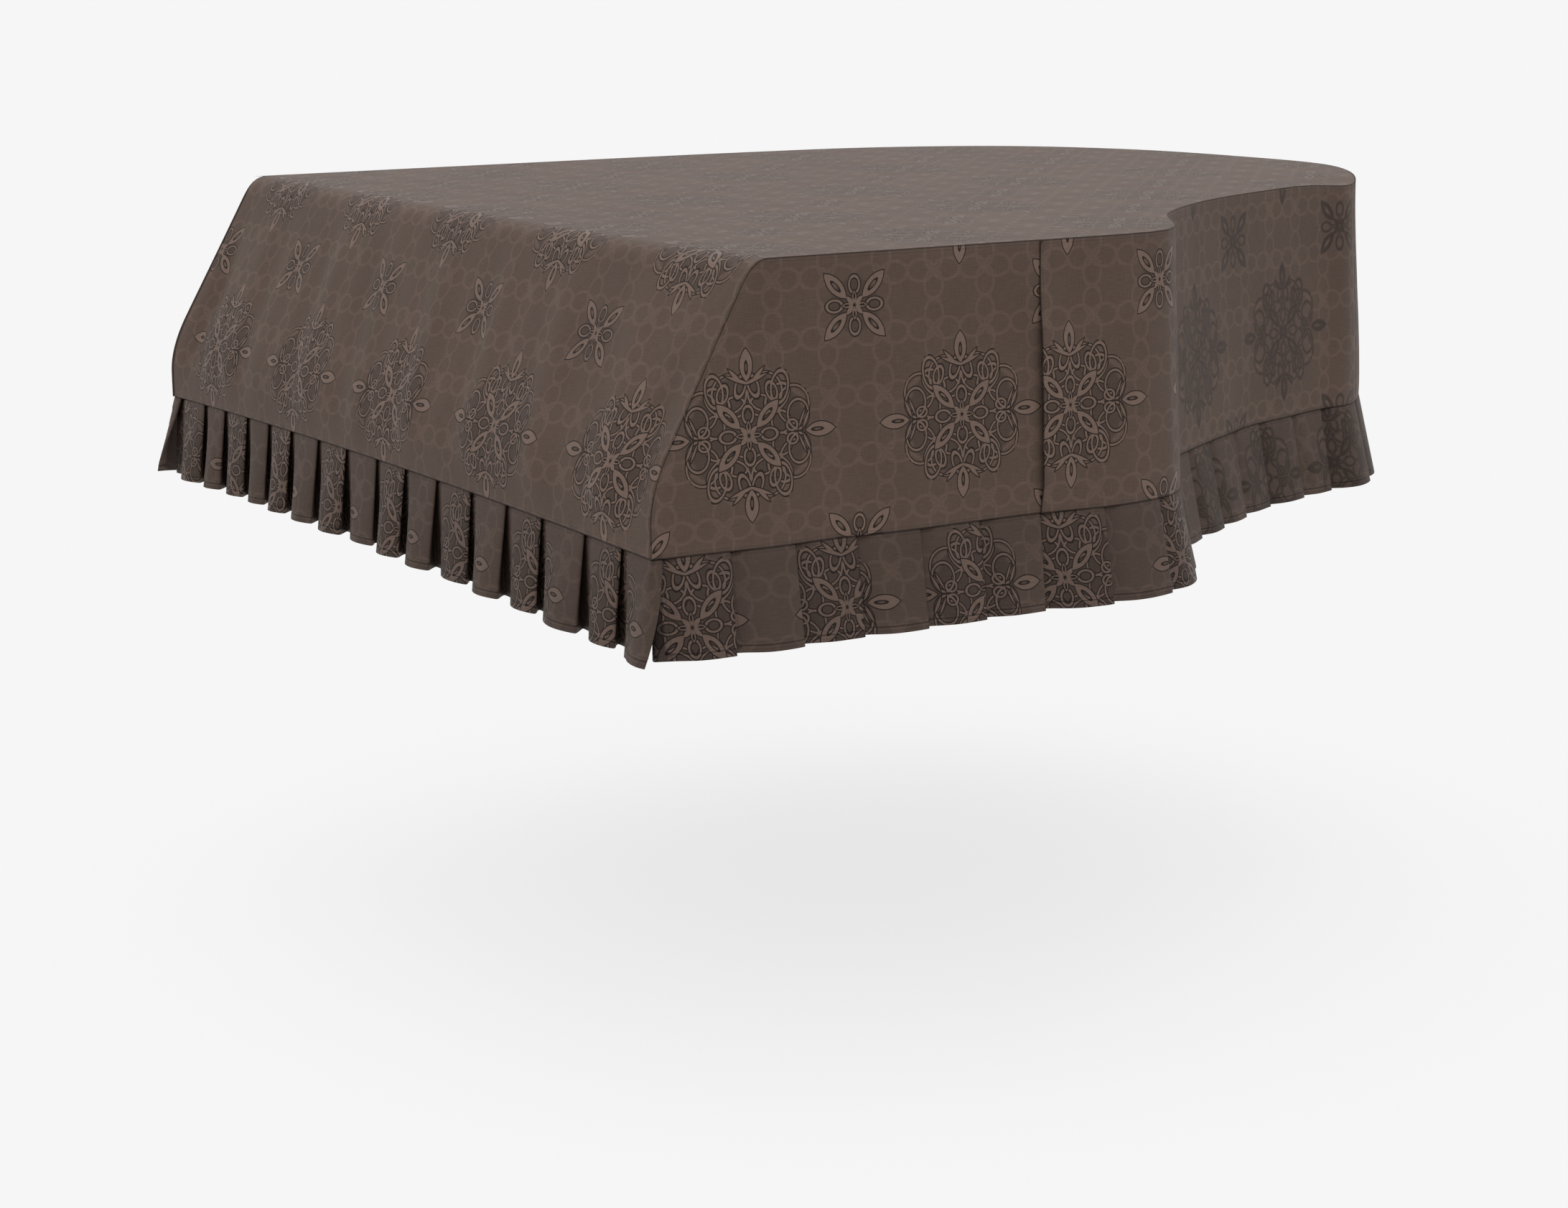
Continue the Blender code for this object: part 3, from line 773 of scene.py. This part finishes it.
# The side panels.
sides = {
    "ventAt": 0.395,  # along the rim from the front right corner
    "ventLap": 0.022,
    "ventHollow": 0.006,
    "rows": 60,
    "lip": 0.003,  # how far a corner seam stands out of the front
    "lipFade": 0.030,
}


def ventLap(s, z):
    near = 1.0 - smooth((s - sides["ventAt"] - sides["ventLap"]) / (sides["ventLap"] * 2.0))
    down = z / cover["seamZ"]
    low = smooth((down - 0.12) / 0.30) * smooth((1.0 - down) / 0.12)
    return near * (cover["cloth"] + cover["gap"] + sides["ventHollow"] * low)


def wallTop(s):
    spot = rimPoint(s)
    return cover["cloth"] - tailDroop(spot.x, spot.y)


def plainWall(name, sFrom, sTo, columns, repeats, lap=None):
    def place(a, d):
        s = mix(sFrom, sTo, a)
        z = mix(wallTop(s), cover["seamZ"], d)
        return sidePoint(s, z, lap(s, z) if lap else 0.0)

    def metres(a, d):
        s = mix(sFrom, sTo, a)
        return s, mix(wallTop(s), cover["seamZ"], d)

    def sewn(a, d):
        s, z = metres(a, d)
        return min(abs(s - sFrom), abs(sTo - s), wallTop(s) - z, z - cover["seamZ"])

    piece = clothGrid(name, columns, sides["rows"], place, metres, sewn, repeats)
    giveThickness(piece, cover["cloth"])
    return piece


def profiledWall(name, frontS, farS, columns, repeats):  # its front edge follows the front
    rows, _ = frontProfile(sides["rows"])
    rows[0] = Vector((cover["frontEdgeY"], 0.0))
    forward = 1.0 if farS > frontS else -1.0

    def spot(a, d):
        toFar = a if forward > 0.0 else 1.0 - a
        profile = rows[int(round(d * sides["rows"]))]
        pastEdge = smooth(-profile.y / sides["lipFade"])
        reach = cover["frontEdgeY"] - profile.x + sides["lip"] * pastEdge
        s = mix(frontS - forward * reach, farS, toFar)
        farZ = mix(wallTop(farS), cover["seamZ"], d)
        nearZ = profile.y + cover["cloth"] * (1.0 - pastEdge)
        return s, mix(nearZ, farZ, toFar)

    def place(a, d):
        s, z = spot(a, d)
        return sidePoint(s, z)

    def sewn(a, d):
        s, z = spot(a, d)
        ends = min(a, 1.0 - a) * abs(spot(1.0, d)[0] - spot(0.0, d)[0])
        return min(ends, wallTop(s) - z, z - cover["seamZ"])

    piece = clothGrid(name, columns, sides["rows"], place, spot, sewn, repeats)
    giveThickness(piece, cover["cloth"])
    return piece


# The last number of each row is how far the pattern's light and dark are swapped, a painted sheen.
repeats = {
    "right": [(-9.0, -0.016, -0.200, 1.017, 0.0)],
    "bent": [(-9.0, 0.435, -0.201, 1.0, 0.0), (0.635, 0.980, -0.206, 1.0, 1.0)],
    "tail": [(-9.0, 2.180, -0.206, 1.0, 1.0)],
    "left": [(-9.0, 3.100, -0.200, 1.0, 0.0)],
}
frontEnd = sides["ventAt"] + sides["ventLap"]
rightFront = profiledWall("right_front_cloth", 0.0, frontEnd, 110, repeats["right"])
dress(rightFront, panelCloth, "right_front_panel")
bentSide = plainWall("bent_side_cloth", sides["ventAt"], tailRightS, 240, repeats["bent"], ventLap)
dress(bentSide, panelCloth, "right_bent_side_panel")
tailEnd = plainWall("tail_cloth", tailRightS + cover["gap"], tailLeftS - cover["gap"], 180,
                    repeats["tail"])
dress(tailEnd, panelCloth, "tail_panel")
leftSide = profiledWall("left_side_cloth", rimLength, tailLeftS, 240, repeats["left"])
dress(leftSide, panelCloth, "left_side_panel")
print("side panels made")


# The pleated skirt.
skirt = {
    "pitch": 0.0935,
    "slip": 0.005,
    "lean": 0.004,
    "depthSpread": 0.14,
    "flare": 0.006,
    "frontFlare": -0.007,
    "rearFlare": 0.012,
    "cornerTurn": 0.060,  # over which the front's flare becomes a side's
    "depth": 0.016,
    "frontDepth": 0.028,
    "cornerOut": 0.013,
    "rows": 14,
    "hem": 0.008,
    "frontFoldsX": [
        -0.725, -0.628, -0.547, -0.460, -0.378, -0.296, -0.200, -0.104,
        -0.004, 0.086, 0.182, 0.282, 0.380, 0.474, 0.584, 0.674,
    ],
    "rightFoldsY": [-0.788, -0.700, -0.614, -0.528, -0.440, -0.352],
    "frontRounding": 0.30,  # how far a face curls back at its folds
    "rounding": 0.10,
    "curlsFrom": 0.6,  # share of its pitch
    "foldWear": 0.05,  # counts as this far from a seam, outside the folds; inside them painted shade darkens the cloth
}
# One pleat along its strip: share of the pitch, then along and out at the seam, then along
# at the hem, share of the depth there and clear distance, and at last 1 deep inside the fold,
# where painted shade darkens the cloth.
pleatFolds = [
    (0.00, -0.026, -0.0066, -0.016, 0.00, 0.0000, 1.0),
    (0.00, 0.004, -0.0066, 0.008, 0.05, 0.0004, 1.0),
    (0.00, 0.020, -0.0003, 0.028, 0.66, 0.0000, 0.3),
    (0.40, 0.000, 0.0000, 0.005, 0.92, 0.0000, 0.0),
    (0.60, 0.000, 0.0000, 0.003, 1.00, 0.0000, 0.0),
    (0.80, 0.000, 0.0000, 0.000, 1.00, 0.0000, 0.0),
    (1.00, 0.000, 0.0000, 0.000, 1.00, 0.0000, 0.3),
    (1.00, 0.000, -0.0033, -0.001, 1.00, -0.0034, 1.0),
    (1.00, -0.026, -0.0033, -0.016, 0.00, 0.0038, 1.0),
]
seamFront = 2.0 * cover["halfWidth"]
seamArm = cover["frontEdgeY"] - cover["frontY"]
seamLength = seamFront + rimLength + 2.0 * seamArm


def seamPoint(q):  # q runs from the front left corner across the front, then round
    q %= seamLength
    if q <= seamFront:
        stretch = 1.0 + hanging["cornerOut"] / cover["halfWidth"]
        return Vector(((q - cover["halfWidth"]) * stretch, cover["frontY"]))
    return sidePoint(q - seamFront - seamArm, cover["seamZ"]).to_2d()


def seamOutward(q, spread=0.020):
    along = (seamPoint(q + spread) - seamPoint(q - spread)).normalized()
    return Vector((along.y, -along.x))


def seamFlare(q):
    q %= seamLength
    pastRight = smooth((q - seamFront) / skirt["cornerTurn"] + 0.5)
    pastLeft = 1.0 - smooth(q / skirt["cornerTurn"])
    s = q - seamFront - seamArm
    rear = smooth((s - sides["ventAt"]) / sides["ventAt"])
    rear *= smooth((rimLength - s) / sides["ventAt"])
    side = mix(skirt["flare"], skirt["rearFlare"], rear)
    return mix(skirt["frontFlare"], side, min(1.0, pastRight + pastLeft))


def seamRise(q):
    q %= seamLength
    return frontRise(q - cover["halfWidth"]) if q <= seamFront else 0.0


def pleatPath(marks, depth, draws):
    path = []
    rounding = skirt["frontRounding" if depth == skirt["frontDepth"] else "rounding"]
    for begin, end in zip(marks, marks[1:]):
        deep = depth * (1.0 + draws.uniform(-skirt["depthSpread"], skirt["depthSpread"]))
        lean = draws.uniform(-skirt["lean"], skirt["lean"])
        passed = [corner for corner in (0.0, seamFront, seamLength) if begin < corner < end]
        hemEnd = passed[0] if passed else end + lean
        swing = skirt["cornerOut"] if passed else 0.0
        for part, alongSeam, outSeam, alongHem, shareHem, clearHem, inside in pleatFolds:
            along = begin + (end - begin) * part + alongSeam
            hemAlong = mix(begin, hemEnd, part) + alongHem
            toFold = max(0.0, part - skirt["curlsFrom"]) / (1.0 - skirt["curlsFrom"])
            curled = 1.0 if passed else 1.0 - rounding * toFold ** 2
            hemOut = (deep * curled + swing * part ** 3) * shareHem + clearHem
            path.append(Vector((along, outSeam, hemAlong, hemOut, inside)))
    return path


def cornersCut(path, times):  # rounds the folds, but keeps both ends
    for _ in range(times):
        cut = [path[0]]
        for a, b in zip(path, path[1:]):
            cut.append(a.lerp(b, 0.25))
            cut.append(a.lerp(b, 0.75))
        cut.append(path[-1])
        path = cut
    return path


def skirtStrip(name, marks, depth, draws, repeats):
    path = cornersCut(pleatPath(marks, depth, draws), 2)
    last = len(path) - 1

    def place(a, d):
        alongSeam, outSeam, alongHem, outHem, _ = path[int(round(a * last))]
        q = mix(alongSeam, alongHem, d)
        out = mix(outSeam, outHem + seamFlare(q), d) + cover["cloth"] / 2.0
        plan = seamPoint(q) + seamOutward(q) * out
        z = mix(cover["seamZ"], cover["hemZ"], d) + seamRise(q)
        return Vector((plan.x, plan.y, z))

    lengths = [0.0]
    for i in range(last):
        lengths.append(lengths[-1] + (place(i / last, 0.5) - place((i + 1) / last, 0.5)).length)

    def metres(a, d):
        return lengths[int(round(a * last))], d * (cover["hemZ"] - cover["seamZ"])

    def sewn(a, d):
        tall = cover["seamZ"] - cover["hemZ"]
        toHem = tall * (1.0 - d) - skirt["hem"]
        # deep inside a fold the way to a seam falls to none, which paints shade into the pleat's
        # recess
        outside = (1.0 - path[int(round(a * last))][4]) * skirt["foldWear"]
        return min(tall * d, toHem if toHem > 0.0 else skirt["hem"], outside)

    piece = clothGrid(name, last, skirt["rows"], place, metres, sewn, repeats)
    giveThickness(piece, cover["cloth"], 0.0)
    return piece, lengths[-1]


def pleatMarks(start, end, draws):
    count = round((end - start) / skirt["pitch"])
    marks = [mix(start, end, i / count) for i in range(count + 1)]
    for k in range(1, count):
        marks[k] += draws.uniform(-skirt["slip"], skirt["slip"])
    return marks


draws = random.Random(11)
firstFold = skirt["frontFoldsX"][0] + cover["halfWidth"]
ventQ = seamFront + seamArm + sides["ventAt"]
tailStartQ = seamFront + seamArm + tailRightS
tailEndQ = seamFront + seamArm + tailLeftS
rightFolds = [seamFront + y - cover["frontY"] for y in skirt["rightFoldsY"]]
strips = [
    ("skirt_front", [x + cover["halfWidth"] for x in skirt["frontFoldsX"]] + rightFolds[:1]),
    ("skirt_right_front", [*rightFolds, ventQ]),
    ("skirt_bent_side", pleatMarks(ventQ, tailStartQ, draws)),
    ("skirt_tail", pleatMarks(tailStartQ, tailEndQ, draws)),
    ("skirt_left_side", pleatMarks(tailEndQ, seamLength + firstFold, draws)),
]
for node, marks in strips:
    depth = skirt["frontDepth"] if node == "skirt_front" else skirt["depth"]
    # the tail's skirt, and the bent side's from 0.385 on, have the pattern's light and dark
    # swapped: painted sheen
    rows = [(-9.0, 0.050, -0.081, 1.0, 1.0 if node == "skirt_tail" else 0.0)]
    if node == "skirt_bent_side":
        rows.append((0.385, 0.050, -0.081, 1.0, 1.0))
    strip, stripLength = skirtStrip(node + "_cloth", marks, depth, draws, rows)
    dress(strip, skirtCloth, node)
print("skirt made")


# Floor, lights and camera.
studio = {
    "floor": 0.16,  # beneath the cloth, fading to none from fadeStart to fadeReach
    "floorLit": 1.60,  # how brightly the light shines on it
    "floorRadius": 1.42,
    "fadeStart": 0.5,  # both from the frame's origin, which is above the floor
    "fadeReach": 1.75,
    "sky": 0.9216,
    "lightSpread": 50.0,
    "lightStrength": 1.65,
    "lightFrom": (-0.30, 0.16, 0.93),
}

bm = bmesh.new()
bmesh.ops.create_circle(bm, cap_ends=True, segments=64, radius=studio["floorRadius"])
bmesh.ops.translate(bm, verts=bm.verts, vec=(0.0, 0.0, cover["floorZ"]))
floorMesh = bpy.data.meshes.new("floor")
bm.to_mesh(floorMesh)
bm.free()
floor = bpy.data.objects.new("floor", floorMesh)
bpy.context.scene.collection.objects.link(floor)
floorPaint = bpy.data.materials.new("pale floor")
floorPaint.use_nodes = True
floorShader = floorPaint.node_tree.nodes["Principled BSDF"]
floorTree = floorPaint.node_tree
place = floorTree.nodes.new("ShaderNodeTexCoord").outputs["Object"]
fromMiddle = vectors(floorTree, "LENGTH", place)
floorShare = rising(floorTree, fromMiddle, studio["fadeReach"],
                    studio["fadeStart"])
paint = maths(floorTree, "MULTIPLY", floorShare, studio["floor"])
glow = maths(floorTree, "MULTIPLY_ADD", paint, -studio["floorLit"], studio["sky"])
floorTree.links.new(paint, floorShader.inputs["Base Color"])
floorTree.links.new(glow, floorShader.inputs["Emission Strength"])
floorShader.inputs["Roughness"].default_value = 1.0
floorShader.inputs["Specular IOR Level"].default_value = 0.0
floorShader.inputs["Emission Color"].default_value = (1.0, 1.0, 1.0, 1.0)
floorPaint.cycles.emission_sampling = "NONE"
floor.data.materials.append(floorPaint)

world = bpy.data.worlds.new("studio")
world.use_nodes = True
world.node_tree.nodes["Background"].inputs["Color"].default_value = (1.0, 1.0, 1.0, 1.0)
world.node_tree.nodes["Background"].inputs["Strength"].default_value = studio["sky"]
bpy.context.scene.world = world
bpy.context.scene.view_settings.view_transform = "Standard"

light = bpy.data.lights.new("high soft light", "SUN")
light.energy = studio["lightStrength"]
light.angle = math.radians(studio["lightSpread"])
lamp = bpy.data.objects.new("high soft light", light)
lamp.rotation_euler = Vector(studio["lightFrom"]).to_track_quat("Z", "Y").to_euler()
bpy.context.scene.collection.objects.link(lamp)

view = {
    "place": Vector((3.7050, -2.4413, 0.3601)),
    "yaw": 58.352,
    "pitch": -12.447,
    "roll": -0.356,
    "lens": 69.43,
}


def addCamera():
    yaw, pitch, roll = (math.radians(view[k]) for k in ("yaw", "pitch", "roll"))
    forward = Vector((-math.sin(yaw) * math.cos(pitch), math.cos(yaw) * math.cos(pitch),
                      math.sin(pitch)))
    level = Vector((math.cos(yaw), math.sin(yaw), 0.0))
    upright = level.cross(forward)
    right = level * math.cos(roll) + upright * math.sin(roll)
    up = upright * math.cos(roll) - level * math.sin(roll)
    lens = bpy.data.cameras.new("camera")
    lens.lens = view["lens"]
    lens.sensor_fit = "HORIZONTAL"
    lens.sensor_width = 36.0
    lens.clip_end = 200.0
    camera = bpy.data.objects.new("camera", lens)
    turn = Matrix((right, up, -forward)).transposed()
    camera.matrix_world = Matrix.Translation(view["place"]) @ turn.to_4x4()
    bpy.context.scene.collection.objects.link(camera)
    bpy.context.scene.camera = camera


addCamera()
print("stage made")
